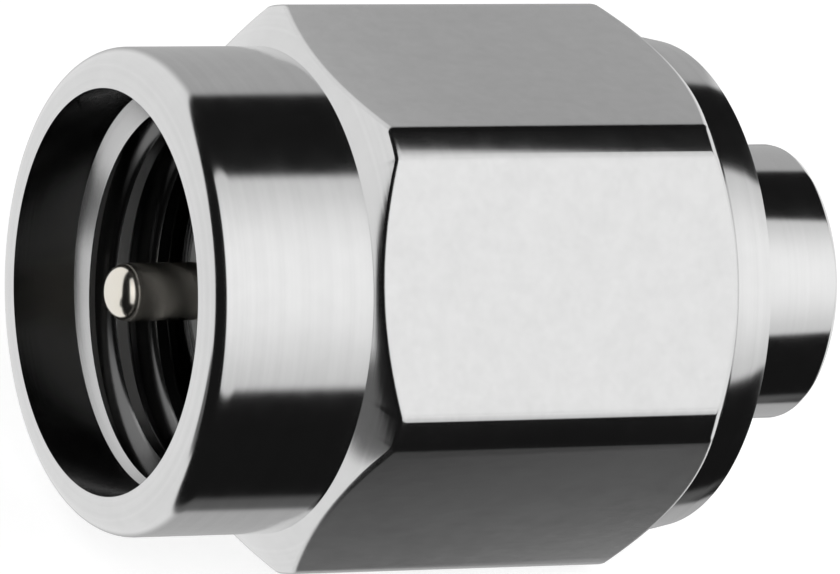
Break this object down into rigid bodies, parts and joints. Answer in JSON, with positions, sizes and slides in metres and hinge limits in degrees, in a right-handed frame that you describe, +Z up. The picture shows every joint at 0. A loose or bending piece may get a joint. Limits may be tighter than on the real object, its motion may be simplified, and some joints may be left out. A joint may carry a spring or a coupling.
{
  "type": "sma connector",
  "caption": "Straight coaxial cable plug with a turning hexagon coupling nut, a centre pin and a solder barrel for semi-rigid cable.",
  "frame": {"origin": "on the connector's axis, at the mating plane (the front end of the contact tube)", "axes": "+X along the axis, from the mating end to the cable end; +Z up, square to the nut flat that the plug lies on"},
  "size_m": [0.012, 0.009, 0.008],
  "materials": {
    "nut": "passivated stainless steel, fine turned",
    "body": "passivated stainless steel, fine turned",
    "ring": "beryllium copper, plain",
    "gasket": "silicone rubber, matt",
    "insulator": "PTFE, turned",
    "contact": "gold plated, polished"
  },
  "bodies": {
    "connector": {"body": "body", "retaining_ring": "ring", "gasket": "gasket", "insulator": "insulator", "centre_contact": "contact"},
    "nut": {"coupling_nut": "nut"}
  },
  "joints": [
    {"name": "nut_spin", "type": "hinge", "parent": "connector", "child": "nut", "pos_m": [0, 0, 0], "axis": [1, 0, 0], "continuous": true}
  ]
}
